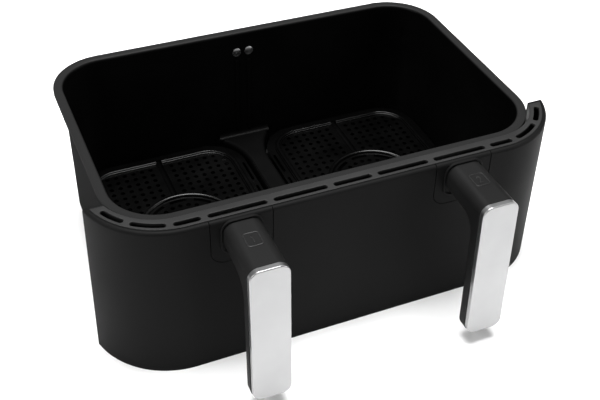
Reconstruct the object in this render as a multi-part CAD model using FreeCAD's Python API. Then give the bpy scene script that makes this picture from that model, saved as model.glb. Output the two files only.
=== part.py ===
import FreeCAD, Part
import math
import os

V = FreeCAD.Vector

# Twin-zone air fryer drawer, millimetres. X runs across the front, +Y to the back, +Z up.
# Everything is drawn about the middle of the pan, standing on z = 0. At the end the whole
# drawer is moved so that the origin lies under the middle of its outline.

# pan
rim_width = 370.0           # outside of the rim, across
rim_depth = 239.6           # outside of the rim, front to back
rim_height = 141.8          # top of the rim above the table
rim_corner = 47.7           # outside corner radius of the rim
rim_lip = 8.4               # how far the rim stands out from the inside of the wall
rim_hem = 4.0               # height of the turned-down edge of the rim
rim_bend = 2.6              # radius where the wall turns out into the rim
rim_edge = 0.8              # radius of the rim's outer edge
pan_steel = 1.0             # sheet thickness
pan_bottom_radius = 17.0    # outside radius between wall and floor
spine_height = 26.0         # top of the pressed spine between the two zones
spine_half = 9.5            # half width of the spine along its middle
spine_flare = 66.0          # radius of the hollow sides where the spine meets the end walls
spine_end = 45.4            # length of the spine's flared end
spine_crown = 3.5           # radius along the spine's top edges
spine_foot = 4.5            # hollow radius where the spine's top meets the end walls
guide_spacing = 12.0        # between the two beads that guide the divider
guide_radius = 1.5
guide_low = 32.0            # foot of the beads
guide_below_rim = 30.0      # head of the beads, below the rim

# rear catch plate and its rivets
catch_width = 30.0
catch_height = 26.0
catch_steel = 1.2
catch_lug = 5.0
rivet_spacing = 12.0
rivet_below_rim = 20.8
rivet_shank = 2.0           # radius
rivet_head = 4.3            # radius
rivet_dome = 1.1            # height of the head
rivet_tail = 0.9            # height of the upset tail
rivet_tail_grow = 1.6       # radius of the tail over the shank's

# fascia
fascia_thick = 17.0                     # front face to back of liner
fascia_front = rim_depth / 2 + 4.2 + fascia_thick   # front face ahead of the pan's middle, at the bottom
fascia_corner = fascia_thick + 52.5     # outside corner radius at the bottom
fascia_corner_x = rim_width / 2 - 50.5  # middle of the corner, to each side
fascia_end = rim_depth / 2 - 31.8       # how far ahead of the pan's middle the side ends stop
fascia_wall = 2.5
fascia_draft = 2.87         # inward lean of the face over its height
fascia_rim_height = rim_height + 2.5    # top of the front
fascia_rim_round = 2.7      # radius of the front's outer top edge
fascia_band = 5.9           # depth of the thicker band at the top
liner_wall = 2.0

# slotted trim on top
trim_height = rim_height + 3.2
trim_inset = 6.4            # outer edge, in from the fascia's bottom outline
trim_plate = 2.2
trim_edge = 0.6             # radius round the top edges and the slots
trim_skirt = 2.0
trim_outer_drop = 9.0       # depth of the skirt along the outer edge
trim_inner_drop = 13.0      # depth of the skirt beside the pan's rim
trim_rim_gap = 2.0          # between the pan's rim and the trim
slot_inset = 11.3           # centre line of the slots, in from the fascia's bottom outline
slot_width = 4.3
slot_bridge = 5.4
slot_weights = (15.9, 43.6, 46.3, 20.4, 26.4, 20.6)     # half the middle slot, then outwards
slot_past_corner = 65.7     # how far the slots run round the corner
post_radius = 2.5
post_shelf = rim_height - 29.8          # underside of the shelves that take the trim's screws
shelf_thick = 3.0
shelf_half = 6.0
post_hole = 12.0            # depth of the screw hole in a post
trim_screw_length = 11.0

# liner screws
boss_radius = 4.0
boss_beside_handle = (-48.5, 34.5)      # to the left and right of each handle's middle
screw_radius = 1.5
screw_head = 3.2
screw_head_height = 2.0
liner_screw_length = 10.0

# handles
handle_x = rim_width / 2 - 91.5         # middle of each handle
grip_width = 32.0
neck_tip_half = grip_width / 2          # half width of the neck at the grip's face
neck_root_half = neck_tip_half - 1.1    # half width of the neck at the collar
collar_lip = 1.4                        # width of the lip
collar_gap = 0.7                        # between the neck and the lip
collar_width = 2 * (neck_root_half + collar_lip + collar_gap)
mount_width = collar_width + 16.0
mount_block = mount_width - 8.0         # width of the solid core behind the plate
tenon_width = 2 * neck_root_half - 5.4
mount_bottom = rim_height - 37.8
mount_corner = 12.0
mount_seam = 0.6
collar_low = rim_height - 29.8
collar_high = rim_height + 1.7
collar_proud = 1.7          # how far the collar's lip stands out of the plate
collar_recess = 0.9         # depth inside the lip, where the neck sits
collar_round = 0.6
mount_pad = 3.0             # thickness of the flange behind the front, and its overlap
mount_lap = 4.0             # how far that core and flange stand off the plate's lower edge
collar_corner = 9.0
neck_low = rim_height - 22.3            # underside of the neck
neck_root_top = rim_height - 0.1
elbow_radius = 15.0         # hollow bend from the neck's underside into the grip's back
tenon_low = neck_low + 1.0
tenon_high = neck_low + 16.5
tenon_corner = 4.0
grip_top = rim_height - 0.2
grip_front = fascia_front + 53.4        # front face of the grip at its top
grip_length = grip_top - 12.6
grip_corner = 8.5
grip_lean = 3.4             # degrees; the lower end stands further out
facing_thick = 5.0
facing_inset = 0.3
facing_round = 0.9
grip_body_thick = 11.6      # moulded grip behind the facing
grip_back_round = 5.0
core_steel = 2.5
core_width = 16.0
core_bar_z = neck_low + 6.5
core_drop = grip_length - 37.0
core_pocket_depth = 2.5     # from the grip's moulded face to the strap
core_pocket_edge = 8.0      # pocket's ends, inside the grip's top and below the strap
core_side_gap = 1.5         # room beside the strap
core_tunnel_gap = 2.0       # room over and under the bar
grip_screw_depth = 5.0      # how far the screws go into the moulding
grip_screw_rise = (12.0, 40.0)      # screws above the strap's lower end
core_plate_width = 34.0
core_plate_low = mount_bottom
core_plate_high = mount_bottom + 26.0
screw_tip = 1.5             # how far the handle screws pass through the strap's plate

# brackets between pan and liner
bracket_steel = 1.5
bracket_width = 46.0
bracket_low = mount_bottom - 34.0
bracket_knee = mount_bottom - 6.0
bracket_high = mount_bottom + 25.0
joint_screw_x = 12.0
joint_screw_z = (mount_bottom + 5.0, mount_bottom + 17.0)

# crisper plates
plate_top = 22.0
plate_steel = 1.2
plate_wall_gap = 2.4
plate_spine_gap = 3.2
plate_corner = 36.0
bead_inset = 9.5
bead_inset_spine = 11.0     # the same on the side towards the spine
bead_width = 6.0
bead_sink = 0.3             # how far beads reach into the sheet
bead_step = 1.2             # from the bead's foot to its crest, on each flank
bead_round = 1.1
bead_height = 2.6
ring_radius = 43.5          # centre line of the round bead
ring_bead = 4.8
groove_radius = 3.0         # inside of the pressed groove
groove_rise = 1.0           # its axis above the plate
groove_start_gap = 0.6      # between the round bead and the groove
groove_overrun = 4.2        # how far it runs past the bead's centre line
column_pitch = 8.5
row_pitch = 8.25
first_column = 10.5         # from the groove to the first holes
hole_radius = 2.1
hole_margin = 4.9           # free strip beside beads
round_rings = 4
arc_slot_radius = ring_radius - 6.5
round_pitch = (arc_slot_radius - 7.4) / round_rings
arc_slot_width = 3.2
arc_slot_count = 10
arc_slot_angle = 25.0
edge_slot_share = 0.76      # part of each quarter of the side that is slot
edge_slot_past = 2.0        # how far the quarters reach into the round corners
edge_slot_width = 2.4
edge_slot_inset = 3.6
foot_radius = 3.4           # pressed leg under the plate
foot_wall = 1.1
leg_length = 12.0
foot_height = 11.0
foot_round = 1.0
foot_floor_gap = 0.3
foot_grip = 0.02            # between leg and cup

fit_gap = 0.3               # between moulded pieces that slip together
hole_gap = 0.2              # between a screw or rivet and its hole, on the radius
seat_gap = 0.05             # between pieces that are screwed or riveted flat together

wall_x = rim_width / 2 - rim_lip
wall_y = rim_depth / 2 - rim_lip
spine_straight = wall_y - spine_end
outer_x = wall_x + pan_steel
outer_y = wall_y + pan_steel
wall_corner = rim_corner - rim_lip
corner_y = fascia_corner - fascia_front
slot_scale = (fascia_corner_x + slot_past_corner - 5 * slot_bridge) / sum(slot_weights)
slot_middle = 2 * slot_weights[0] * slot_scale
boss_places = [(handle_x + dx, z) for dx in boss_beside_handle for z in (25.0, mount_bottom - 9.0)]
liner_back = fascia_front - fascia_thick
liner_front = liner_back + liner_wall
liner_top = trim_height - trim_inner_drop - fit_gap
bead_head = rim_height - guide_below_rim
rivet_z = rim_height - rivet_below_rim


def box(x0, x1, y0, y1, z0, z1):
    return Part.makeBox(x1 - x0, y1 - y0, z1 - z0, V(x0, y0, z0))


def rod(radius, start, direction, length):
    return Part.makeCylinder(radius, length, V(*start), V(*direction))


def joined(shapes):
    whole = shapes[0]
    if len(shapes) > 1:
        whole = whole.fuse(shapes[1:])
    return whole.removeSplitter()


def group(shapes):
    return Part.makeCompound(shapes)


def both_sides(shapes):
    mirrored = [shape.mirror(V(0, 0, 0), V(1, 0, 0)) for shape in shapes]
    return list(shapes) + mirrored


def rounded_wire(width, depth, radius, z, x=0.0, y=0.0):
    # a rectangle with four round corners, lying flat
    hw = width / 2 - radius
    hd = depth / 2 - radius
    arcs = []
    for cx, cy, start in ((hw, hd, 0), (-hw, hd, 90), (-hw, -hd, 180), (hw, -hd, 270)):
        points = []
        for angle in (start, start + 45, start + 90):
            a = math.radians(angle)
            points.append(V(x + cx + radius * math.cos(a), y + cy + radius * math.sin(a), z))
        arcs.append(points)
    edges = []
    for index, points in enumerate(arcs):
        edges.append(Part.Arc(*points).toShape())
        edges.append(Part.makeLine(points[2], arcs[(index + 1) % 4][0]))
    return Part.Wire(edges)


def rounded_slab(width, depth, radius, z0, z1, x=0.0, y=0.0):
    face = Part.Face(rounded_wire(width, depth, radius, z0, x, y))
    return face.extrude(V(0, 0, z1 - z0))


def upright_wire(width, low, high, radius, x, y):
    # the same outline stood up across the Y axis
    wire = rounded_wire(width, high - low, radius, 0)
    wire.rotate(V(0, 0, 0), V(1, 0, 0), 90)
    wire.translate(V(x, y, (low + high) / 2))
    return wire


def upright_bar(width, low, high, radius, x, y0, y1):
    return Part.Face(upright_wire(width, low, high, radius, x, y1)).extrude(V(0, y0 - y1, 0))


def floor_edges(shape, z):
    return [e for e in shape.Edges if abs(e.BoundBox.ZMin - z) < 1e-6 and abs(e.BoundBox.ZMax - z) < 1e-6]


def reach_of(edge):
    return max(abs(edge.BoundBox.XMin), abs(edge.BoundBox.XMax))


def wrap_wire(inset, end, z):
    # outline of the front: straight across, a round corner each side, cut off at y = -end
    radius = fascia_corner - inset
    stop = math.asin((-end - corner_y) / radius)
    angles = (stop, (stop - math.pi / 2) / 2, -math.pi / 2)
    right = [V(fascia_corner_x + radius * math.cos(a), corner_y + radius * math.sin(a), z) for a in angles]
    left = [V(-p.x, p.y, z) for p in right]
    edges = [
        Part.Arc(*right).toShape(),
        Part.makeLine(right[2], left[2]),
        Part.Arc(left[2], left[1], left[0]).toShape(),
        Part.makeLine(left[0], right[0]),
    ]
    return Part.Wire(edges)


def wrap_block(inset, z0, z1, end, top_inset=None):
    # the solid inside that outline, between two heights; it leans where the insets differ
    if top_inset is None:
        return Part.Face(wrap_wire(inset, end, z0)).extrude(V(0, 0, z1 - z0))
    return Part.makeLoft([wrap_wire(inset, end, z0), wrap_wire(top_inset, end, z1)], True, True)


def wrap_point(distance, inset):
    # place and outward direction at a distance along the outline from its middle
    radius = fascia_corner - inset
    side = 1 if distance >= 0 else -1
    run = abs(distance)
    if run <= fascia_corner_x:
        return side * run, corner_y - radius, 0.0, -1.0
    angle = (run - fascia_corner_x) / radius - math.pi / 2
    x = fascia_corner_x + radius * math.cos(angle)
    y = corner_y + radius * math.sin(angle)
    return side * x, y, side * math.cos(angle), math.sin(angle)


def lean_at(z):
    return fascia_draft * z / fascia_rim_height


def screw(start, direction, length, radius=screw_radius, head=screw_head):
    # cap head on the far side of start, shank from start along the direction
    back = V(*start) - V(*direction) * screw_head_height
    cap = Part.makeCylinder(head, screw_head_height, back, V(*direction))
    shank = Part.makeCylinder(radius, length, V(*start), V(*direction))
    return cap.fuse(shank).removeSplitter()


def spine_block(grow, low, high):
    # the spine's plan: straight sides that sweep out in hollow arcs to the end walls
    half = spine_half + grow
    radius = spine_flare - grow
    reach = wall_y + 1.0 if grow == 0 else wall_y + grow
    swing = math.asin((reach - spine_straight) / radius)
    top = []
    for share in (0.0, 0.5, 1.0):
        a = swing * share
        top.append(V(half + radius * (1 - math.cos(a)), spine_straight + radius * math.sin(a), low))
    corners = [top]
    corners.append([V(-p.x, p.y, low) for p in reversed(top)])
    corners.append([V(-p.x, -p.y, low) for p in top])
    corners.append([V(p.x, -p.y, low) for p in reversed(top)])
    edges = []
    for index, arc in enumerate(corners):
        edges.append(Part.Arc(*arc).toShape())
        edges.append(Part.makeLine(arc[2], corners[(index + 1) % 4][0]))
    return Part.Face(Part.Wire(edges)).extrude(V(0, 0, high - low))


def spine_foot_bars():
    # hollow quarter-round between the spine's flat top and each end wall
    swing = math.asin(spine_end / spine_flare)
    half = spine_half + spine_flare * (1 - math.cos(swing)) - spine_crown / 2
    low = spine_height - pan_steel / 2
    middle = spine_height + spine_foot
    bars = []
    for side in (-1, 1):
        near = side * (wall_y - spine_foot)
        far = side * (wall_y + pan_steel / 2)
        bar = box(-half, half, min(near, far), max(near, far), low, middle)
        bars.append(bar.cut(rod(spine_foot, (-half - 1, near, middle), (1, 0, 0), 2 * half + 2)))
    return bars


def basket_pan():
    tub = rounded_slab(2 * outer_x, 2 * outer_y, wall_corner + pan_steel, 0, rim_height)
    tub = tub.makeFillet(pan_bottom_radius, floor_edges(tub, 0))
    hollow = rounded_slab(2 * wall_x, 2 * wall_y, wall_corner, pan_steel, rim_height + 10)
    hollow = hollow.makeFillet(pan_bottom_radius - pan_steel, floor_edges(hollow, pan_steel))
    spine = spine_block(0, 0, spine_height)
    crown = [e for e in floor_edges(spine, spine_height) if abs(e.CenterOfMass.y) < wall_y]
    spine = spine.makeFillet(spine_crown, crown)
    under = spine_block(-pan_steel, -5, spine_height - pan_steel)
    open_span = wall_y - pan_bottom_radius
    mouth = box(-wall_x, wall_x, -open_span, open_span, -10, 10)
    under = under.common(hollow.fuse(mouth))
    rim_low = rim_height - rim_hem
    rim = rounded_slab(rim_width, rim_depth, rim_corner, rim_low, rim_height)
    inside = rounded_slab(rim_width - 2 * pan_steel, rim_depth - 2 * pan_steel, rim_corner - pan_steel,
                          rim_low - 1, rim_height - pan_steel)
    tub = tub.fuse(rim.cut(inside))
    bend = [e for e in floor_edges(tub, rim_height - pan_steel) if reach_of(e) < outer_x + 1e-3]
    tub = tub.makeFillet(rim_bend - pan_steel / 2, bend)
    tub = tub.makeFillet(rim_edge, [e for e in floor_edges(tub, rim_height) if reach_of(e) > outer_x + 1])
    pan = tub.cut(hollow.cut(spine)).cut(under)
    pan = pan.makeFillet(rim_bend, [e for e in floor_edges(pan, rim_height) if reach_of(e) < wall_x + 1e-3])
    pan = pan.fuse(spine_foot_bars() + guide_beads())
    for x in (-rivet_spacing / 2, rivet_spacing / 2):
        pan = pan.cut(rod(rivet_shank + hole_gap, (x, wall_y - 5, rivet_z), (0, 1, 0), 10))
    for x, z in bracket_rivet_places():
        pan = pan.cut(rod(rivet_shank + hole_gap, (x, -wall_y + 5, z), (0, -1, 0), 10))
    return pan.removeSplitter()


def guide_beads():
    # two upright half-round beads on each end wall, between which the divider slides down
    beads = []
    for side in (-1, 1):
        wall = side * wall_y
        inside = box(-guide_spacing, guide_spacing, min(0, wall), max(0, wall), 0, rim_height)
        for x in (-guide_spacing / 2, guide_spacing / 2):
            bead = rod(guide_radius, (x, wall, guide_low), (0, 0, 1), bead_head - guide_low)
            beads.append(bead.common(inside))
    return beads


def rivet(x, y, z, side, grip):
    # domed head on the inside of the wall, shank through it, flat tail outside
    ball = (rivet_head ** 2 + rivet_dome ** 2) / (2 * rivet_dome)
    head = Part.makeSphere(ball, V(x, y + side * (ball - rivet_dome), z))
    keep = rod(rivet_head, (x, y, z), (0, -side, 0), rivet_dome + 1)
    shank = rod(rivet_shank, (x, y, z), (0, side, 0), grip)
    tail = rod(rivet_shank * rivet_tail_grow, (x, y + side * grip, z), (0, side, 0), rivet_tail)
    return joined([head.common(keep), shank, tail])


def rear_rivets():
    grip = pan_steel + catch_steel + seat_gap
    return group([rivet(x, wall_y, rivet_z, 1, grip) for x in (-rivet_spacing / 2, rivet_spacing / 2)])


def rear_catch():
    face = outer_y + seat_gap
    high = rivet_z + catch_height / 2
    low = rivet_z - catch_height / 2
    plate = box(-catch_width / 2, catch_width / 2, face, face + catch_steel, low, high)
    lug = box(-catch_width / 4, catch_width / 4, face, face + catch_lug, low, low + catch_steel)
    for x in (-rivet_spacing / 2, rivet_spacing / 2):
        plate = plate.cut(rod(rivet_shank + hole_gap, (x, face - 5, rivet_z), (0, 1, 0), 12))
    return joined([plate, lug])


def fascia_whole():
    # the front before the handle openings are cut out of it
    body = wrap_block(0, 0, fascia_rim_height, fascia_end, fascia_draft)
    top = [e for e in floor_edges(body, fascia_rim_height) if e.BoundBox.YMin < -fascia_end - 1]
    body = body.makeFillet(fascia_rim_round, top)
    inner_end = fascia_end + fascia_wall
    band = fascia_rim_height - fascia_band
    space = wrap_block(fascia_wall, fascia_wall, band, inner_end, fascia_wall + lean_at(band))
    opening = wrap_block(trim_inset - fit_gap, band - 1, trim_height + 5, inner_end)
    pan_side = wrap_block(fascia_thick, -1, trim_height + 5, fascia_end - 5)
    return body.cut(pan_side).cut(space).cut(opening).removeSplitter()


def mount_prism(width, bottom, corner, side):
    wire = upright_wire(width, bottom, trim_height + 20, corner, side * handle_x, -fascia_front - 10)
    return Part.Face(wire).extrude(V(0, 20, 0))


def liner_bosses():
    out = []
    for x, z in boss_places:
        deep = -fascia_front + lean_at(z) + fascia_wall / 2
        length = -liner_front - fit_gap - deep
        boss = rod(boss_radius, (x, deep, z), (0, 1, 0), length)
        pilot = rod(screw_radius + hole_gap, (x, deep + fascia_wall, z), (0, 1, 0), length)
        out.append(boss.cut(pilot))
    return both_sides(out)


def fascia_shell(whole):
    shell = whole
    for side in (-1, 1):
        shell = shell.cut(mount_prism(mount_width, mount_bottom, mount_corner, side))
    return joined([shell] + liner_bosses())


def shelf_places():
    # the trim's posts stand at bridges between two slots
    first = slot_middle / 2 + slot_bridge / 2
    total = slot_middle / 2
    for weight in slot_weights[1:4]:
        total += slot_bridge + weight * slot_scale
    return (first, total + slot_bridge / 2)


def shelf_block(distance):
    x, y, nx, ny = wrap_point(distance, slot_inset)
    depth = liner_front - liner_back + (fascia_thick - liner_wall - slot_inset) + shelf_half
    top = post_shelf + shelf_thick
    block = box(-shelf_half, shelf_half, -shelf_half, depth - shelf_half, post_shelf, top)
    block.rotate(V(0, 0, 0), V(0, 0, 1), math.degrees(math.atan2(nx, -ny)))
    block.translate(V(x, y, 0))
    hole = rod(screw_radius + hole_gap, (x, y, post_shelf - 1), (0, 0, 1), shelf_thick + 2)
    return block.cut(hole)


def fascia_liner():
    low = fascia_wall + fit_gap
    end = fascia_end + fascia_wall + fit_gap
    sheet = wrap_block(fascia_thick - liner_wall, low, liner_top, end)
    sheet = sheet.cut(wrap_block(fascia_thick, low - 1, liner_top + 1, fascia_end - 5))
    ribs = []
    for distance in shelf_places():
        ribs.append(shelf_block(distance))
        ribs.append(shelf_block(-distance))
    sheet = joined([sheet] + ribs)
    sheet = sheet.cut(wrap_block(fascia_thick, low - 1, liner_top + 1, fascia_end - 5))
    for x, z in boss_places:
        for side in (-1, 1):
            sheet = sheet.cut(rod(screw_radius + hole_gap, (side * x, -liner_front - 5, z), (0, 1, 0), 12))
    for x, z in joint_screw_places():
        sheet = sheet.cut(rod(screw_radius + hole_gap, (x, -liner_front - 5, z), (0, 1, 0), 12))
    return sheet


def liner_screws():
    out = [screw((x, -liner_back, z), (0, -1, 0), liner_screw_length) for x, z in boss_places]
    return group(both_sides(out))


def slot_cutter(start, stop):
    # a slot with round ends that follows the trim's centre line between two distances
    radius = fascia_corner - slot_inset
    half = slot_width / 2
    low = trim_height - 30
    tall = 60
    pieces = []
    y = corner_y - radius
    if start < fascia_corner_x:
        pieces.append(box(start, min(stop, fascia_corner_x), y - half, y + half, low, low + tall))
    if stop > fascia_corner_x:
        a0 = max(0.0, math.degrees((start - fascia_corner_x) / radius))
        a1 = math.degrees((stop - fascia_corner_x) / radius)
        at = V(fascia_corner_x, corner_y, low)
        disc = Part.makeCylinder(radius + half, tall, at, V(0, 0, 1), a1 - a0)
        disc = disc.cut(Part.makeCylinder(radius - half, tall, at, V(0, 0, 1)))
        disc.rotate(at, V(0, 0, 1), a0 - 90)
        pieces.append(disc)
    for distance in (start, stop):
        x, y, nx, ny = wrap_point(distance, slot_inset)
        pieces.append(rod(half, (x, y, low), (0, 0, 1), tall))
    return joined(pieces)


def slot_runs():
    half = slot_width / 2
    runs = []
    start = slot_middle / 2 + slot_bridge
    for weight in slot_weights[1:]:
        length = weight * slot_scale
        runs.append((start + half, start + length - half))
        start += length + slot_bridge
    return runs


def trim_outline_block(inset_gap, low, high):
    # what lies between the pan's rim and the trim's outer edge
    end = fascia_end + fascia_wall + fit_gap
    outer = wrap_block(trim_inset, low, high, end)
    grow = 2 * inset_gap
    rim = rounded_slab(rim_width + grow, rim_depth + grow, rim_corner + inset_gap, low - 1, high + 1)
    return outer.cut(rim)


def trim_skirts():
    inner_low = trim_height - trim_inner_drop
    inner = trim_outline_block(trim_rim_gap, inner_low, trim_height)
    inner = inner.cut(trim_outline_block(trim_rim_gap + trim_skirt, inner_low - 1, trim_height + 1))
    end = fascia_end + fascia_wall + fit_gap
    outer_low = trim_height - trim_outer_drop
    outer = wrap_block(trim_inset, outer_low, trim_height, end)
    outer = outer.cut(wrap_block(trim_inset + trim_skirt, outer_low - 1, trim_height + 1, end - 5))
    return [inner, outer.cut(handle_reach(outer_low))]


def trim_posts():
    posts = []
    base = post_shelf + shelf_thick + fit_gap
    for distance in shelf_places():
        for side in (-1, 1):
            x, y, nx, ny = wrap_point(side * distance, slot_inset)
            post = rod(post_radius, (x, y, base), (0, 0, 1), trim_height - 1 - base)
            posts.append(post.cut(rod(screw_radius + hole_gap, (x, y, base - 1), (0, 0, 1), post_hole)))
    return posts


def top_trim():
    plate = trim_outline_block(trim_rim_gap, trim_height - trim_plate, trim_height)
    trim = joined([plate] + trim_skirts() + trim_posts())
    y = slot_inset - fascia_front
    half = slot_width / 2
    middle = slot_middle / 2 - half
    low = trim_height - 30
    cutters = [box(-middle, middle, y - half, y + half, low, trim_height + 5)]
    for x in (-middle, middle):
        cutters.append(rod(half, (x, y, low), (0, 0, 1), 40))
    cutters += both_sides([slot_cutter(start, stop) for start, stop in slot_runs()])
    for cutter in cutters:
        trim = trim.cut(cutter)
    trim = trim.removeSplitter()
    return trim.makeFillet(trim_edge, floor_edges(trim, trim_height))


def handle_reach(low):
    # room behind each handle opening, so that the trim's skirt clears the mount
    half = mount_width / 2 + 5
    high = trim_height - trim_plate
    blocks = []
    for side in (-1, 1):
        x = side * handle_x
        blocks.append(box(x - half, x + half, -fascia_front, -liner_front, low - 1, high))
    return group(blocks)


def trim_screws():
    out = []
    for distance in shelf_places():
        for side in (-1, 1):
            x, y, nx, ny = wrap_point(side * distance, slot_inset)
            out.append(screw((x, y, post_shelf), (0, 0, 1), trim_screw_length))
    return group(out)


def joint_screw_places():
    places = []
    for side in (-1, 1):
        for dx in (-joint_screw_x, joint_screw_x):
            for z in joint_screw_z:
                places.append((side * handle_x + dx, z))
    return places


def bracket_rivet_places():
    z = (bracket_low + bracket_knee) / 2
    return [(side * handle_x + dx, z) for side in (-1, 1) for dx in (-joint_screw_x, joint_screw_x)]


def pan_bracket(side):
    # a stepped strap: lower flange on the pan's wall, upper flange behind the liner
    x0 = side * handle_x - bracket_width / 2
    x1 = x0 + bracket_width
    near = -outer_y - seat_gap
    far = -liner_back + seat_gap
    lower = box(x0, x1, near - bracket_steel, near, bracket_low, bracket_knee)
    knee = box(x0, x1, far, near, bracket_knee - bracket_steel, bracket_knee)
    upper = box(x0, x1, far, far + bracket_steel, bracket_knee - bracket_steel, bracket_high)
    strap = joined([lower, knee, upper])
    for x, z in joint_screw_places():
        strap = strap.cut(rod(screw_radius + hole_gap, (x, far - 3, z), (0, 1, 0), 6))
    for x, z in bracket_rivet_places():
        strap = strap.cut(rod(rivet_shank + hole_gap, (x, near + 3, z), (0, -1, 0), 6))
    return strap


def bracket_rivets():
    grip = pan_steel + bracket_steel + 2 * seat_gap
    return group([rivet(x, -wall_y, z, -1, grip) for x, z in bracket_rivet_places()])


def core_front():
    return liner_front + fit_gap + core_steel


def handle_screws():
    far = liner_back - seat_gap - bracket_steel
    grip = core_front() + screw_tip - far
    return group([screw((x, -far, z), (0, -1, 0), grip) for x, z in joint_screw_places()])


def collar_face():
    return fascia_front - fascia_draft + collar_proud


def handle_mount(side, whole):
    # the flush plate in the front, the core and flange behind it, and the lip round the neck
    x = side * handle_x
    seam = mount_seam
    prism = mount_prism(mount_width - 2 * seam, mount_bottom + seam, mount_corner - seam, side)
    flush = whole.common(prism)
    top = fascia_rim_height - fascia_band - 1
    face = fascia_front - fascia_wall - lean_at(mount_bottom)
    back = mount_pad - face
    half = mount_block / 2
    block = box(x - half, x + half, -fascia_front + fascia_draft + 0.5, back, mount_bottom + mount_lap, top)
    half = mount_width / 2 + mount_pad
    pad = box(x - half, x + half, 1.0 - face, back, mount_bottom - mount_lap, top)
    front = -collar_face()
    collar = upright_bar(collar_width, collar_low, collar_high, collar_corner, x, front, -fascia_front + 4)
    rim = [e for e in collar.Edges if abs(e.BoundBox.YMax - front) < 1e-4]
    collar = collar.makeFillet(collar_round, rim)
    mount = joined([flush, block, pad, collar])
    lip = collar_lip
    mount = mount.cut(upright_bar(collar_width - 2 * lip, collar_low + lip, collar_high - lip,
                                  collar_corner - lip, x, front - 1, front + collar_recess))
    socket = upright_bar(tenon_width + 2 * fit_gap, tenon_low - fit_gap, tenon_high + fit_gap,
                         tenon_corner + fit_gap, x, -fascia_front - 20, -liner_front)
    return mount.cut(socket)


def tilt(shape, side):
    # from the grip's own upright frame to its leaning place on the drawer
    shape.rotate(V(0, 0, 0), V(1, 0, 0), -grip_lean)
    shape.translate(V(side * handle_x, -grip_front, grip_top))
    return shape


def grip_slab(width, length, corner, y0, y1, drop):
    return upright_bar(width, -length - drop, -drop, corner, 0, y0, y1)


def face_edges(shape, y):
    return [e for e in shape.Edges if abs(e.BoundBox.YMin - y) < 1e-5 and abs(e.BoundBox.YMax - y) < 1e-5]


def grip_facing(side):
    width = grip_width - 2 * facing_inset
    length = grip_length - 2 * facing_inset
    slab = grip_slab(width, length, grip_corner - facing_inset, 0, facing_thick - seat_gap, facing_inset)
    slab = slab.makeFillet(facing_round, face_edges(slab, 0))
    return tilt(slab, side)


def grip_screw_drops():
    return [core_drop - rise for rise in grip_screw_rise]


def leg_face():
    return facing_thick + core_pocket_depth


def in_grip(depth, drop):
    # a point of the grip's own upright frame, in the drawer's: ahead of the pan's middle, and up
    lean = math.radians(grip_lean)
    y = depth * math.cos(lean) - drop * math.sin(lean) - grip_front
    z = grip_top - depth * math.sin(lean) - drop * math.cos(lean)
    return y, z


def knee_drop(depth):
    # how far down the grip's back the underside of the neck would meet it
    lean = math.radians(grip_lean)
    return (grip_top - neck_low - depth * math.sin(lean)) / math.cos(lean)


def neck_root():
    return collar_recess - collar_face() - seat_gap


def grip_screws():
    out = []
    for side in (-1, 1):
        for drop in grip_screw_drops():
            start = (0, leg_face(), -drop)
            out.append(tilt(screw(start, (0, 1, 0), core_steel + grip_screw_depth), side))
    return group(out)


def handle_side(side):
    # side view of neck and grip in one, drawn out across the handle
    depth = facing_thick + grip_body_thick
    root = neck_root()
    outline = [in_grip(facing_thick, 0), in_grip(facing_thick, grip_length), in_grip(depth, grip_length),
               in_grip(depth, knee_drop(depth)), (root, neck_low), (root, neck_root_top)]
    points = [V(side * handle_x - grip_width, y, z) for y, z in outline]
    return Part.Face(Part.makePolygon(points + points[:1])).extrude(V(2 * grip_width, 0, 0))


def handle_plan(side):
    # plan of the handle: it widens from the collar to the grip's face
    root = neck_root()
    tip = in_grip(facing_thick, 0)[0]
    far = in_grip(facing_thick, grip_length)[0] - 1
    widen = (neck_tip_half - neck_root_half) / (root - tip)
    x = side * handle_x
    near_half = neck_root_half - widen
    far_half = neck_root_half + widen * (root - far)
    plan = [V(x - near_half, root + 1, 0), V(x - far_half, far, 0), V(x + far_half, far, 0),
            V(x + near_half, root + 1, 0)]
    return Part.Face(Part.makePolygon(plan + plan[:1])).extrude(V(0, 0, 2 * grip_top))


def handle_body(side):
    x = side * handle_x
    root = neck_root()
    body = handle_side(side).common(handle_plan(side))
    elbow = []
    for e in body.Edges:
        at = e.CenterOfMass
        if abs(at.x - x) < 1e-3 and abs(at.z - neck_low) < 1e-3 and at.y < root - 1:
            elbow.append(e)
    body = body.makeFillet(elbow_radius, elbow)
    foot = in_grip(0, grip_length)[1]
    long_edges = []
    for e in body.Edges:
        at = e.CenterOfMass
        outer = at.z > neck_root_top - 1 or at.z < foot + 3
        if outer and abs(at.x - x) > neck_root_half - 1:
            long_edges.append(e)
    body = body.makeFillet(grip_corner, long_edges)
    body = body.makeFillet(grip_back_round, back_edges(body, root, foot))
    stub_end = -core_front() - screw_tip - fit_gap
    stub = upright_bar(tenon_width, tenon_low, tenon_high, tenon_corner, x, root - 2, stub_end)
    body = joined([body, stub])
    half = core_width / 2 + core_side_gap
    tunnel = box(x - half, x + half, -grip_front - 5, -liner_front,
                 core_bar_z - core_tunnel_gap, core_bar_z + core_steel + core_tunnel_gap)
    floor = leg_face() + core_steel + seat_gap
    pocket = grip_slab(2 * half, core_drop, 2 * core_side_gap, facing_thick - 1, floor, core_pocket_edge)
    body = body.cut(tunnel).cut(tilt(pocket, side))
    for drop in grip_screw_drops():
        length = core_steel + grip_screw_depth + 2 * hole_gap
        hole = rod(screw_radius + hole_gap, (0, leg_face(), -drop), (0, 1, 0), length)
        body = body.cut(tilt(hole, side))
    return body


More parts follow.
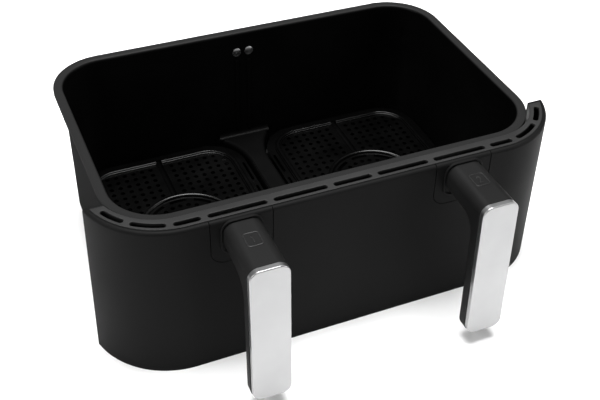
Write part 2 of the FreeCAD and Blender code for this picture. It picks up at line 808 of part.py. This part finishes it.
def back_edges(body, root, foot):
    # the outline of the back, elbow and underside: edges that only one of those faces has
    found = {}
    for face in body.Faces:
        at = face.CenterOfMass
        u, v = face.Surface.parameter(at)
        normal = face.normalAt(u, v)
        behind = normal.y > 0.5 or normal.z < -0.5
        if behind and abs(normal.x) < 0.1 and foot + 5 < at.z and at.y < root - 1:
            for e in face.Edges:
                found.setdefault(e.hashCode(), []).append(e)
    lone = [edges[0] for edges in found.values() if len(edges) == 1]
    return [e for e in lone if e.CenterOfMass.y < root - 1]


def handle_core(side):
    # steel strap: plate inside the front, bar through the neck, leg down inside the grip
    x = side * handle_x
    half = core_width / 2
    back = core_steel - core_front()
    plate = box(x - core_plate_width / 2, x + core_plate_width / 2, back - core_steel, back,
                core_plate_low, core_plate_high)
    face = leg_face()
    leg_top = core_bar_z + core_steel - grip_top
    leg = box(-half, half, face, face + core_steel, -core_drop, leg_top)
    for drop in grip_screw_drops():
        leg = leg.cut(rod(screw_radius + hole_gap, (0, face - 1, -drop), (0, 1, 0), core_steel + 2))
    leg = tilt(leg, side)
    reach = -grip_front + face + leg_top * math.sin(math.radians(grip_lean)) + core_steel / 2
    bar = box(x - half, x + half, reach, back - core_steel / 2, core_bar_z, core_bar_z + core_steel)
    for px, pz in joint_screw_places():
        plate = plate.cut(rod(screw_radius + seat_gap, (px, back + 1, pz), (0, -1, 0), 8))
    return joined([plate, bar, leg])


def plate_frame(side):
    # middle and size of one crisper plate
    inner = spine_half + plate_spine_gap
    outer = wall_x - plate_wall_gap
    depth = 2 * (wall_y - plate_wall_gap)
    return side * (inner + outer) / 2, outer - inner, depth


def bead_frame(side):
    # middle and size of the bead's centre line, which stands further in beside the spine
    x, width, depth = plate_frame(side)
    shift = side * (bead_inset_spine - bead_inset) / 2
    return x + shift, width - bead_inset - bead_inset_spine, depth - 2 * bead_inset


def hole_counts(side):
    # whole columns on the left and right of the groove, and rows each way from the middle
    x = plate_frame(side)[0]
    bead_x, width, depth = bead_frame(side)
    columns = {}
    for way in (-1, 1):
        room = width / 2 + way * (bead_x - x) - hole_margin - first_column
        columns[way] = int(room / column_pitch) + 1
    return columns, int((depth / 2 - hole_margin) / row_pitch)


def bead_ring(width, depth, corner, x):
    # raised bead that follows a rounded rectangle: a flat-topped ridge with sloping flanks
    out = []
    for grow, low, high in ((bead_width / 2, plate_top - bead_sink, plate_top + bead_height / 2),
                            (bead_width / 2 - bead_step, plate_top, plate_top + bead_height)):
        solid = rounded_slab(width + 2 * grow, depth + 2 * grow, corner + grow, low, high, x)
        inside = rounded_slab(width - 2 * grow, depth - 2 * grow, corner - grow, low - 1, high + 1, x)
        ridge = solid.cut(inside)
        out.append(ridge.makeFillet(bead_round, floor_edges(ridge, high)))
    return joined(out)


def round_bead(x):
    bead = Part.makeTorus(ring_radius, ring_bead / 2, V(x, 0, plate_top))
    reach = ring_radius + ring_bead
    low = plate_top - bead_sink
    return bead.common(box(x - reach, x + reach, -reach, reach, low, low + ring_bead))


def groove_runs(bead_half):
    # from the round bead out past the outer bead, to the back and to the front
    start = ring_radius + ring_bead / 2 + groove_start_gap
    stop = bead_half + groove_overrun
    return ((start, stop), (-stop, -start))


def groove_rod(x, radius, start, stop):
    return rod(radius, (x, start, plate_top + groove_rise), (0, 1, 0), stop - start)


def plate_holes(side):
    # square grid outside the round bead, rings of holes and curved slots inside it
    x = plate_frame(side)[0]
    bead_x, width, depth = bead_frame(side)
    columns, rows = hole_counts(side)
    corner = plate_corner - bead_inset
    low = plate_top - 8
    tall = 20
    cutters = [rod(hole_radius, (x, 0, low), (0, 0, 1), tall)]
    for way in (-1, 1):
        for column in range(columns[way]):
            for row in range(-rows, rows + 1):
                dx = way * (first_column + column_pitch * column)
                dy = row_pitch * row
                over_x = max(0.0, abs(x + dx - bead_x) - width / 2 + corner)
                over_y = max(0.0, abs(dy) - depth / 2 + corner)
                inside = math.hypot(over_x, over_y) < corner - hole_margin
                if inside and math.hypot(dx, dy) > ring_radius + hole_margin:
                    cutters.append(rod(hole_radius, (x + dx, dy, low), (0, 0, 1), tall))
    for ring in range(1, round_rings + 1):
        for step in range(6 * ring):
            a = math.radians(90 + step * 60 / ring)
            at = (x + ring * round_pitch * math.cos(a), ring * round_pitch * math.sin(a), low)
            cutters.append(rod(hole_radius, at, (0, 0, 1), tall))
    at = V(x, 0, low)
    outer = arc_slot_radius + arc_slot_width / 2
    for step in range(arc_slot_count):
        sector = Part.makeCylinder(outer, tall, at, V(0, 0, 1), arc_slot_angle)
        sector = sector.cut(Part.makeCylinder(outer - arc_slot_width, tall, at, V(0, 0, 1)))
        sector.rotate(at, V(0, 0, 1), 90 + step * 360 / arc_slot_count - arc_slot_angle / 2)
        cutters.append(sector)
    return cutters


def edge_slots(side):
    # four long slots beside the spine
    x, width, depth = plate_frame(side)
    edge = x - side * (width / 2 - edge_slot_inset)
    pitch = (depth / 2 - plate_corner + edge_slot_past) / 2
    out = []
    for step in (-1.5, -0.5, 0.5, 1.5):
        out.append(rounded_slab(edge_slot_width, edge_slot_share * pitch, edge_slot_width / 2 - 0.01,
                                plate_top - 8, plate_top + 8, edge, step * pitch))
    return out


def foot_places(side):
    # in each corner of the grid, midway between four holes
    x = plate_frame(side)[0]
    columns, rows = hole_counts(side)
    places = []
    for way in (-1, 1):
        dx = way * (first_column + column_pitch * (columns[way] - 1.5))
        for end in (-1, 1):
            places.append((x + dx, end * row_pitch * (rows - 0.5)))
    return places


def crisper_plate(side):
    x, width, depth = plate_frame(side)
    bead_x, bead_w, bead_d = bead_frame(side)
    sheet = rounded_slab(width, depth, plate_corner, plate_top - plate_steel, plate_top, x)
    added = [bead_ring(bead_w, bead_d, plate_corner - bead_inset, bead_x), round_bead(x)]
    grooves = []
    wide = 2 * groove_radius + 2 * plate_steel
    for start, stop in groove_runs(bead_d / 2):
        trough = groove_rod(x, groove_radius + plate_steel, start - plate_steel, stop + plate_steel)
        under = box(x - wide, x + wide, start - wide, stop + wide, 0, plate_top - plate_steel / 2)
        added.append(trough.common(under))
        grooves.append(groove_rod(x, groove_radius, start, stop))
    low = plate_top - leg_length
    for px, py in foot_places(side):
        added.append(rod(foot_radius, (px, py, low), (0, 0, 1), leg_length - plate_steel / 2))
    plate = sheet.fuse(added).removeSplitter()
    return plate.cut(group(grooves + plate_holes(side) + edge_slots(side)))


def plate_feet(side):
    # soft cups pushed over the plate's legs
    out = []
    low = pan_steel + foot_floor_gap
    inside = plate_top - leg_length - foot_grip
    for px, py in foot_places(side):
        cup = rod(foot_radius + foot_wall, (px, py, low), (0, 0, 1), foot_height)
        cup = cup.makeFillet(foot_round, floor_edges(cup, low))
        out.append(cup.cut(rod(foot_radius + foot_grip, (px, py, inside), (0, 0, 1), foot_height)))
    return group(out)


def all_parts():
    whole = fascia_whole()
    parts = {
        "basket_pan": basket_pan(),
        "rear_rivets": rear_rivets(),
        "rear_catch": rear_catch(),
        "fascia_shell": fascia_shell(whole),
        "fascia_liner": fascia_liner(),
        "liner_screws": liner_screws(),
        "top_trim": top_trim(),
        "trim_screws": trim_screws(),
        "bracket_rivets": bracket_rivets(),
        "handle_screws": handle_screws(),
        "grip_screws": grip_screws(),
    }
    for name, side in (("left", -1), ("right", 1)):
        parts["pan_bracket_" + name] = pan_bracket(side)
        parts["handle_mount_" + name] = handle_mount(side, whole)
        parts["handle_body_" + name] = handle_body(side)
        parts["handle_core_" + name] = handle_core(side)
        parts["grip_facing_" + name] = grip_facing(side)
        parts["crisper_plate_" + name] = crisper_plate(side)
        parts["plate_feet_" + name] = plate_feet(side)
    return parts


def main():
    os.makedirs("parts", exist_ok=True)
    parts = all_parts()
    outline = Part.makeCompound(list(parts.values())).optimalBoundingBox(False, False)
    shift = V(-outline.Center.x, -outline.Center.y, -outline.ZMin)
    for name, shape in parts.items():
        shape.translate(shift)
        solids = len(shape.Solids)
        print(name, "solids", solids, "volume", round(shape.Volume), "valid", shape.isValid())
        shape.exportStep("parts/" + name + ".step")
    print("moved by", [round(v, 3) for v in shift])


main()
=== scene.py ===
import math

import bpy
import numpy as np
from mathutils import Matrix, Vector


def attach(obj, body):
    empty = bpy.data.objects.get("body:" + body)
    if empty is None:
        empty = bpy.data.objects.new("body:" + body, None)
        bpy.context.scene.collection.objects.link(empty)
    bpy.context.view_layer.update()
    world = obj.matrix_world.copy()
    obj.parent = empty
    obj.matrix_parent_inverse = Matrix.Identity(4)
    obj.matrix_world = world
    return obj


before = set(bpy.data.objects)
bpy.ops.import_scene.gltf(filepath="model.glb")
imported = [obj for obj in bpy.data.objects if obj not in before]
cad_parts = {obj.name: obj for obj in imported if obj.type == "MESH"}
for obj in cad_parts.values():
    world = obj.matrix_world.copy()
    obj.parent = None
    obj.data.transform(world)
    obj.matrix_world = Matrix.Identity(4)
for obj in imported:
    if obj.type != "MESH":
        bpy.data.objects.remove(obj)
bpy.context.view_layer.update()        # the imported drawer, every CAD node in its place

print("frame loaded:", len(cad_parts), "CAD nodes")

# metres; the drawer's own measures that finishes and pieces go by
drawer = {
    "panMiddleY": 0.04109,
    "panHalf": (0.1766, 0.1114),     # inside of the pan's walls
    "panCorner": 0.0393,
    "rimTop": 0.1418,
    "handleX": 0.0935,
    "neckTop": 0.1417,
    "neckMiddleY": -0.1200,
}

cameraSetup = {
    "place": (-0.27724, -0.60944, 0.61427),
    "azimuth": -24.1514,
    "elevation": 39.8380,
    "roll": 1.8080,
    "lens": 59.22,
    "sensorWidth": 36.0,
}


def addCamera(setup):
    # looks along (-sin a cos e, cos a cos e, -sin e), then rolls about that line
    azimuth = math.radians(setup["azimuth"])
    elevation = math.radians(setup["elevation"])
    roll = math.radians(setup["roll"])
    forward = Vector((-math.sin(azimuth) * math.cos(elevation),
                      math.cos(azimuth) * math.cos(elevation),
                      -math.sin(elevation)))
    right = forward.cross(Vector((0, 0, 1))).normalized()
    up = right.cross(forward)
    side = right * math.cos(roll) + up * math.sin(roll)
    top = up * math.cos(roll) - right * math.sin(roll)
    data = bpy.data.cameras.new("camera")
    data.lens = setup["lens"]
    data.sensor_width = setup["sensorWidth"]
    camera = bpy.data.objects.new("camera", data)
    bpy.context.scene.collection.objects.link(camera)
    turn = Matrix((side, top, -forward)).transposed().to_4x4()
    camera.matrix_world = Matrix.Translation(setup["place"]) @ turn
    bpy.context.scene.camera = camera


addCamera(cameraSetup)
print("camera placed")


def meshFromArrays(name, points, quads):
    # one smooth-shaded object from points (count, 3) and the corner numbers of its faces
    corners = quads.shape[1]
    mesh = bpy.data.meshes.new(name)
    mesh.vertices.add(len(points))
    mesh.vertices.foreach_set("co", np.asarray(points, np.float32).ravel())
    mesh.loops.add(quads.size)
    mesh.loops.foreach_set("vertex_index", quads.ravel().astype(np.int32))
    mesh.polygons.add(len(quads))
    starts = np.arange(0, quads.size, corners, dtype=np.int32)
    mesh.polygons.foreach_set("loop_start", starts)
    mesh.update(calc_edges=True)
    mesh.validate()
    mesh.shade_smooth()
    piece = bpy.data.objects.new(name, mesh)
    bpy.context.scene.collection.objects.link(piece)
    return piece


def gridQuads(rows, cols, closeRows=False, closeCols=False):
    # corner numbers (i, j), (i, j+1), (i+1, j+1), (i+1, j), wrapped where the grid closes
    i = np.arange(rows if closeRows else rows - 1)
    j = np.arange(cols if closeCols else cols - 1)
    a, b = np.meshgrid(i, j, indexing="ij")
    nextA, nextB = (a + 1) % rows, (b + 1) % cols
    quads = [a * cols + b, a * cols + nextB, nextA * cols + nextB, nextA * cols + b]
    return np.stack(quads, axis=-1).reshape(-1, len(quads))


def newMaterial(name):
    # an empty material with one principled shader on its surface
    mat = bpy.data.materials.new(name)
    mat.use_nodes = True
    tree = mat.node_tree
    tree.nodes.clear()
    out = tree.nodes.new("ShaderNodeOutputMaterial")
    shader = tree.nodes.new("ShaderNodeBsdfPrincipled")
    tree.links.new(shader.outputs["BSDF"], out.inputs["Surface"])
    return mat, tree, shader


def objectPoint(tree, stretch=(1, 1, 1), shift=(0, 0, 0)):
    # object coordinates times stretch, plus shift
    coords = tree.nodes.new("ShaderNodeTexCoord")
    mapping = tree.nodes.new("ShaderNodeMapping")
    mapping.inputs["Scale"].default_value = stretch
    mapping.inputs["Location"].default_value = shift
    tree.links.new(coords.outputs["Object"], mapping.inputs["Vector"])
    return mapping.outputs["Vector"]


def noise(tree, point, scale, detail=2.0, roughness=0.5):
    # a cloudy number about 0.5; scale is how many lumps there are to a metre
    node = tree.nodes.new("ShaderNodeTexNoise")
    node.inputs["Scale"].default_value = scale
    node.inputs["Detail"].default_value = detail
    node.inputs["Roughness"].default_value = roughness
    tree.links.new(point, node.inputs["Vector"])
    return node.outputs["Fac"]


def spread(tree, value, fromLow, fromHigh, toLow, toHigh):
    # straight line from one range to the other, held at its ends
    node = tree.nodes.new("ShaderNodeMapRange")
    names = ("From Min", "From Max", "To Min", "To Max")
    for socket, number in zip(names, (fromLow, fromHigh, toLow, toHigh)):
        node.inputs[socket].default_value = number
    tree.links.new(value, node.inputs["Value"])
    return node.outputs["Result"]


# where Blender's mix node keeps its two inputs and its result, for each kind
mixSockets = {"RGBA": (6, 7, 2), "FLOAT": (2, 3, 0)}


def blend(tree, kind, share, first, second):
    # first*(1 - share) + second*share; each is a colour, a number or another node's output
    node = tree.nodes.new("ShaderNodeMix")
    node.data_type = kind
    tree.links.new(share, node.inputs["Factor"])
    firstSocket, secondSocket, result = mixSockets[kind]
    for index, value in ((firstSocket, first), (secondSocket, second)):
        if isinstance(value, tuple):
            node.inputs[index].default_value = (*value, 1)
        elif isinstance(value, float):
            node.inputs[index].default_value = value
        else:
            tree.links.new(value, node.inputs[index])
    return node.outputs[result]


def bumpFrom(tree, height, strength, distance, below=None):
    # the normal leaned by strength times the slope of height*distance, on top of the one below
    node = tree.nodes.new("ShaderNodeBump")
    node.inputs["Strength"].default_value = strength
    node.inputs["Distance"].default_value = distance
    tree.links.new(height, node.inputs["Height"])
    if below is not None:
        tree.links.new(below, node.inputs["Normal"])
    return node.outputs["Normal"]


def vectorStep(tree, kind, first, second=None):
    # one step of vector arithmetic on first, with a constant second where the kind needs one
    node = tree.nodes.new("ShaderNodeVectorMath")
    node.operation = kind
    tree.links.new(first, node.inputs[0])
    if second is not None:
        node.inputs[1].default_value = second
    return node.outputs["Value"] if kind == "LENGTH" else node.outputs["Vector"]


# how the noises of every finish are made: a soft cloud and a fine grain
grainMaker = {
    "cloudDetail": 3.0, "cloudRoughness": 0.6, "cloudRange": (0.3, 0.7),
    "grainDetail": 2.0, "grainRoughness": 0.55,
}


def cloudFinish(name, spec):
    # colour and gloss drift together: from dark to light, and from the first roughness to
    # the second, as the cloud goes through its range
    mat, tree, shader = newMaterial(name)
    cloud = noise(tree, objectPoint(tree), spec["cloudScale"],
                  grainMaker["cloudDetail"], grainMaker["cloudRoughness"])
    share = spread(tree, cloud, *grainMaker["cloudRange"], 0.0, 1.0)
    colour = blend(tree, "RGBA", share, spec["dark"], spec["light"])
    rough = spread(tree, cloud, *grainMaker["cloudRange"], *spec["roughness"])
    tree.links.new(colour, shader.inputs["Base Color"])
    tree.links.new(rough, shader.inputs["Roughness"])
    shader.inputs["Metallic"].default_value = spec.get("metallic", 0.0)
    shader.inputs["Specular IOR Level"].default_value = spec.get("specular", 0.5)
    return mat, tree, shader, colour, rough


def grainFinish(name, spec):
    # the cloudy finish with a much finer grain that dents the surface
    mat, tree, shader, colour, rough = cloudFinish(name, spec)
    grain = noise(tree, objectPoint(tree), spec["grainScale"],
                  grainMaker["grainDetail"], grainMaker["grainRoughness"])
    bump = bumpFrom(tree, grain, spec["bump"], spec["bumpDepth"])
    tree.links.new(bump, shader.inputs["Normal"])
    return mat, tree, shader, colour, rough


# the pan's coat: black and glossy inside, satin on the rim with its top coloured lighter as
# painted light from overhead, dull outside
panCoat = {
    "dark": (0.0012, 0.0012, 0.0012), "light": (0.0026, 0.0026, 0.0026),
    "cloudScale": 9.0, "grainScale": 2600.0, "roughness": (0.30, 0.40),
    "bump": 0.20, "bumpDepth": 0.0001, "specular": 0.04,
    # the rim's colour is about ten times the inside's: painted light on the flange's top,
    # standing in for the overhead lamp
    "rimPaintedLight": (0.013, 0.013, 0.013), "rimRoughness": 0.42,
    "outsideColour": (0.0012, 0.0012, 0.0012), "outsideRoughness": 0.95,
    "outsideBand": (0.0004, 0.0008),     # how far out from the inner wall the outside starts
    "rimBand": (0.0004, 0.0012),         # how far below the rim's top its painted light and satin roughness give way
}


def panFinish(name, spec):
    # reach is the distance |max(|p| - (half - corner), 0)| of the walls' rounded outline; past
    # the corner's radius it is the outside, and near the rim's top it is the rim, lifted in
    # colour as painted light
    mat, tree, shader, colour, rough = grainFinish(name, spec)
    centred = objectPoint(tree, (1, 1, 0), (0, -drawer["panMiddleY"], 0))
    away = vectorStep(tree, "ABSOLUTE", centred)
    halfX, halfY = drawer["panHalf"]
    corner = drawer["panCorner"]
    away = vectorStep(tree, "SUBTRACT", away, (halfX - corner, halfY - corner, 0.0))
    away = vectorStep(tree, "MAXIMUM", away, (0.0, 0.0, 0.0))
    reach = vectorStep(tree, "LENGTH", away)
    inner, outer = spec["outsideBand"]
    outside = spread(tree, reach, corner + inner, corner + outer, 0.0, 1.0)
    split = tree.nodes.new("ShaderNodeSeparateXYZ")
    tree.links.new(objectPoint(tree), split.inputs[0])
    near, far = spec["rimBand"]
    top = drawer["rimTop"]
    # share of the band at the rim's top, where the colour is lifted as painted light
    rimPaintedLightShare = spread(tree, split.outputs["Z"], top - far, top - near, 0.0, 1.0)
    colour = blend(tree, "RGBA", outside, colour, spec["outsideColour"])
    colour = blend(tree, "RGBA", rimPaintedLightShare, colour, spec["rimPaintedLight"])
    rough = blend(tree, "FLOAT", outside, rough, spec["outsideRoughness"])
    rough = blend(tree, "FLOAT", rimPaintedLightShare, rough, spec["rimRoughness"])
    tree.links.new(colour, shader.inputs["Base Color"])
    tree.links.new(rough, shader.inputs["Roughness"])
    return mat


# satin silver on the grips: very fine upright brushing over a soft bloom
gripSilver = {
    "dark": (0.34, 0.34, 0.343), "light": (0.38, 0.38, 0.383), "cloudScale": 18.0,
    "grainScale": 1500.0, "roughness": (0.30, 0.35), "bump": 0.05, "bumpDepth": 0.0001,
    "metallic": 1.0,
    "brushStretch": (1.0, 1.0, 0.02), "brushScale": 5200.0, "brushDetail": 1.0,
    "brushBump": 0.05, "brushDepth": 0.00005,
}


def silverFinish(name, spec):
    # noise drawn out along Z gives upright hairlines, with the fine grain on top of them
    mat, tree, shader, *_ = cloudFinish(name, spec)
    lines = noise(tree, objectPoint(tree, spec["brushStretch"]),
                  spec["brushScale"], spec["brushDetail"])
    grain = noise(tree, objectPoint(tree), spec["grainScale"])
    below = bumpFrom(tree, lines, spec["brushBump"], spec["brushDepth"])
    bump = bumpFrom(tree, grain, spec["bump"], spec["bumpDepth"], below)
    tree.links.new(bump, shader.inputs["Normal"])
    return mat


# colours and roughness run from first to second, scales are lumps to a metre, depths metres
plainFinishes = {
    "plateCoat": {"dark": (0.0005, 0.0005, 0.0005), "light": (0.0011, 0.0011, 0.0011),
                  "cloudScale": 22.0, "grainScale": 2400.0, "roughness": (0.20, 0.28),
                  "bump": 0.10, "bumpDepth": 0.0001, "specular": 0.20},
    "blackFascia": {"dark": (0.0042, 0.0042, 0.0042), "light": (0.0058, 0.0058, 0.0058),
                    "cloudScale": 14.0, "grainScale": 2200.0, "roughness": (0.52, 0.62),
                    "bump": 0.25, "bumpDepth": 0.0001, "specular": 0.05},
    # the trim's black is about two and a half times the fascia's: painted light on its top
    # faces from overhead
    "blackTrimPaintedLight": {"dark": (0.011, 0.011, 0.011), "light": (0.015, 0.015, 0.015),
                  "cloudScale": 30.0, "grainScale": 1900.0, "roughness": (0.46, 0.56),
                  "bump": 0.3, "bumpDepth": 0.0001, "specular": 0.18},
    "blackHandle": {"dark": (0.0058, 0.0058, 0.0058), "light": (0.0078, 0.0078, 0.0078),
                    "cloudScale": 24.0, "grainScale": 2300.0, "roughness": (0.48, 0.58),
                    "bump": 0.25, "bumpDepth": 0.0001, "specular": 0.08},
    "blackPrint": {"dark": (0.003, 0.003, 0.003), "light": (0.006, 0.006, 0.006),
                   "cloudScale": 300.0, "grainScale": 2500.0, "roughness": (0.30, 0.40),
                   "bump": 0.1, "bumpDepth": 0.00005, "specular": 0.4},
    "platedSteel": {"dark": (0.42, 0.42, 0.43), "light": (0.55, 0.55, 0.55),
                    "cloudScale": 60.0, "grainScale": 2500.0, "roughness": (0.25, 0.40),
                    "bump": 0.1, "bumpDepth": 0.0001, "metallic": 1.0},
    "rivetMetal": {"dark": (0.72, 0.72, 0.73), "light": (0.86, 0.86, 0.86),
                   "cloudScale": 120.0, "grainScale": 2500.0, "roughness": (0.22, 0.32),
                   "bump": 0.1, "bumpDepth": 0.0001, "metallic": 1.0},
    "siliconeFoot": {"dark": (0.010, 0.010, 0.010), "light": (0.016, 0.016, 0.016),
                     "cloudScale": 80.0, "grainScale": 1800.0, "roughness": (0.60, 0.75),
                     "bump": 0.2, "bumpDepth": 0.0001, "specular": 0.3},
}
finishes = {name: grainFinish(name, spec)[0] for name, spec in plainFinishes.items()}
finishes["panCoat"] = panFinish("panCoat", panCoat)
finishes["gripSilver"] = silverFinish("gripSilver", gripSilver)

# the start of each CAD node's name, and what it wears
nodeFinish = {
    "basket_pan": "panCoat",
    "crisper_plate": "plateCoat",
    "plate_feet": "siliconeFoot",
    "fascia_shell": "blackFascia",
    "fascia_liner": "blackFascia",
    "handle_mount": "blackFascia",
    "top_trim": "blackTrimPaintedLight",
    "handle_body": "blackHandle",
    "grip_facing": "gripSilver",
    "rear_rivets": "rivetMetal",
    "rear_catch": "platedSteel",
    "pan_bracket": "platedSteel",
    "bracket_rivets": "rivetMetal",
    "handle_core": "platedSteel",
    "handle_screws": "platedSteel",
    "grip_screws": "platedSteel",
    "liner_screws": "platedSteel",
    "trim_screws": "platedSteel",
}
for nodeName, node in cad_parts.items():
    stem = next(s for s in nodeFinish if nodeName.startswith(s))
    for slot in node.material_slots:
        slot.material = finishes[nodeFinish[stem]]
print("finishes on:", len(finishes))

# raised print on top of each neck: a rounded frame with the zone's number in it
zoneMark = {
    "frameHalf": (0.0058, 0.0070),
    "frameCorner": 0.0022,
    "cornerSteps": 24,
    "numberHalf": (0.0021, 0.0034),
    "strokeHalf": 0.00045,
    "flatShare": 0.8,        # of the stroke's width that is flat on top
    "edgeShare": 0.5,        # of the stroke's height that its sides stand upright
    "height": 0.00012,
    "sink": 0.00006,
    "taperRun": 0.04,        # of a number's length over which its ends narrow
    "taperEnd": 0.02,
    "steps": 160,
    # the numbers' lines, one unit to numberHalf: straight runs, and an arc with a foot
    "one": [(-0.35, 0.55), (0.05, 1.0), (0.05, -1.0)],
    "two": {"middle": (0.0, 0.42), "radius": 0.58, "from": 160.0, "to": -38.0, "steps": 40,
            "foot": (-0.6, -1.0), "end": (0.62, -1.0)},
}


def strokeSurface(path, closed, spec):
    # a flat-topped ridge: the profile (-w, -sink) (-w, h*edge) (-w*flat, h) and its mirror
    # image, carried along the path and joined underneath; w narrows at the ends of an open
    # path as the square root of the way along the taper
    steps = spec["steps"]
    ahead = np.roll(path, -1, axis=0) if closed else np.vstack([path[1:], path[-1:]])
    behind = np.roll(path, 1, axis=0) if closed else np.vstack([path[:1], path[:-1]])
    run = ahead - behind
    run /= np.linalg.norm(run, axis=1, keepdims=True)
    across = np.stack([run[:, 1], -run[:, 0]], axis=1)
    wide = np.full(steps, spec["strokeHalf"])
    if not closed:
        share = np.linspace(0, 1, steps)
        taper = np.minimum(share, 1 - share) / spec["taperRun"]
        wide *= np.sqrt(np.clip(taper, spec["taperEnd"], 1))
    sink, height, flat = spec["sink"], spec["height"], spec["flatShare"]
    edge = height * spec["edgeShare"]
    profile = np.array([(-1, -sink), (-1, edge), (-flat, height),
                        (flat, height), (1, edge), (1, -sink)])
    offset = profile[None, :, 0, None] * wide[:, None, None] * across[:, None, :]
    points = np.empty((steps, len(profile), 3))
    points[..., :2] = path[:, None, :] + offset
    points[..., 2] = profile[None, :, 1]
    return points


def evenPath(points, steps, closed):
    # the same line with its points spaced evenly by length
    if closed:
        points = np.vstack([points, points[:1]])
    pieces = np.linalg.norm(np.diff(points, axis=0), axis=1)
    length = np.concatenate([[0], np.cumsum(pieces)])
    at = np.linspace(0, length[-1], steps, endpoint=not closed)
    x, y = (np.interp(at, length, points[:, axis]) for axis in (0, 1))
    return np.stack([x, y], axis=1)


def arcPoints(middle, radius, angles):
    # middle + radius*(cos a, sin a)
    return np.stack([np.cos(angles), np.sin(angles)], axis=1) * radius + middle


def roundedFrame(spec):
    # four quarter turns of radius r about (+-(halfX - r), +-(halfY - r)), joined by straights
    halfX, halfY = spec["frameHalf"]
    r = spec["frameCorner"]
    angles = np.linspace(0, math.pi / 2, spec["cornerSteps"])
    corners = []
    for turn, (signX, signY) in enumerate(((1, 1), (-1, 1), (-1, -1), (1, -1))):
        middle = (signX * (halfX - r), signY * (halfY - r))
        corners.append(arcPoints(middle, r, angles + turn * math.pi / 2))
    return evenPath(np.vstack(corners), spec["steps"], True)


def numberPath(which, spec):
    # the number's line in its own units, times half its width and height
    if which == 1:
        line = np.array(spec["one"])
    else:
        two = spec["two"]
        angles = np.radians(np.linspace(two["from"], two["to"], two["steps"]))
        arc = arcPoints(two["middle"], two["radius"], angles)
        line = np.vstack([arc, [two["foot"], two["end"]]])
    return evenPath(line * spec["numberHalf"], spec["steps"], False)


def addZoneMark(name, which, x, spec):
    # frame and number in one mesh, its own z = 0 laid on the neck's top
    frameLine = strokeSurface(roundedFrame(spec), True, spec)
    numberLine = strokeSurface(numberPath(which, spec), False, spec)
    place = np.array([x, drawer["neckMiddleY"], drawer["neckTop"]])
    rows, cols = frameLine.shape[:2]
    frameQuads = gridQuads(rows, cols, True, True)
    numberQuads = gridQuads(rows, cols, False, True) + rows * cols
    points = np.vstack([frameLine.reshape(-1, 3), numberLine.reshape(-1, 3)]) + place
    mark = meshFromArrays(name, points, np.vstack([frameQuads, numberQuads]))
    mark.data.materials.append(finishes["blackPrint"])
    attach(mark, "drawer")


addZoneMark("zone_mark_left", 1, -drawer["handleX"], zoneMark)
addZoneMark("zone_mark_right", 2, drawer["handleX"], zoneMark)
print("zone marks made")

# metres, watts and degrees; fan is the angle a lamp's light is held within
studio = {
    "floor": {"half": 6.0, "points": 9, "colour": (0.93, 0.93, 0.93),
              "roughness": 0.9, "specular": 0.1},
    "worldColour": (1.0, 1.0, 1.0),
    "worldStrength": 0.27,
    "lamps": {
        "overhead": {"place": (0.08, 0.20, 1.90), "aim": (0.08, 0.15, 0.0),
                     "size": (1.2, 1.0), "watts": 18.0, "fan": 80.0},
        "leftSoft": {"place": (-1.30, -0.15, 0.85), "aim": (0.0, -0.05, 0.05),
                     "size": (0.8, 1.0), "watts": 5.0, "fan": 120.0},
        "rightSoft": {"place": (1.20, -0.60, 0.70), "aim": (0.0, -0.05, 0.05),
                      "size": (0.7, 0.9), "watts": 3.0, "fan": 120.0},
    },
}


def addFloor(setup):
    # an even square grid of points at z = 0, half to each side
    count = setup["points"]
    line = np.linspace(-setup["half"], setup["half"], count)
    x, y = np.meshgrid(line, line)
    points = np.stack([x.ravel(), y.ravel(), np.zeros(x.size)], axis=1)
    floor = meshFromArrays("floor", points, gridQuads(count, count))
    mat, _, shader = newMaterial("paleFloor")
    shader.inputs["Base Color"].default_value = (*setup["colour"], 1)
    shader.inputs["Roughness"].default_value = setup["roughness"]
    shader.inputs["Specular IOR Level"].default_value = setup["specular"]
    floor.data.materials.append(mat)


def addLamps(lamps):
    # each lamp is a rectangle whose -Z looks along aim - place
    for name, spec in lamps.items():
        data = bpy.data.lights.new(name, "AREA")
        data.shape = "RECTANGLE"
        data.size, data.size_y = spec["size"]
        data.energy = spec["watts"]
        data.spread = math.radians(spec["fan"])
        lamp = bpy.data.objects.new(name, data)
        bpy.context.scene.collection.objects.link(lamp)
        look = (Vector(spec["aim"]) - Vector(spec["place"])).to_track_quat("-Z", "Y")
        turn = look.to_matrix().to_4x4()
        lamp.matrix_world = Matrix.Translation(spec["place"]) @ turn


def addWorld(setup):
    # one even colour from every side
    world = bpy.data.worlds.new("studioAir")
    bpy.context.scene.world = world
    world.use_nodes = True
    background = world.node_tree.nodes["Background"]
    background.inputs["Color"].default_value = (*setup["worldColour"], 1)
    background.inputs["Strength"].default_value = setup["worldStrength"]


addFloor(studio["floor"])
addLamps(studio["lamps"])
addWorld(studio)
bpy.context.scene.view_settings.view_transform = "Standard"
print("studio lit")
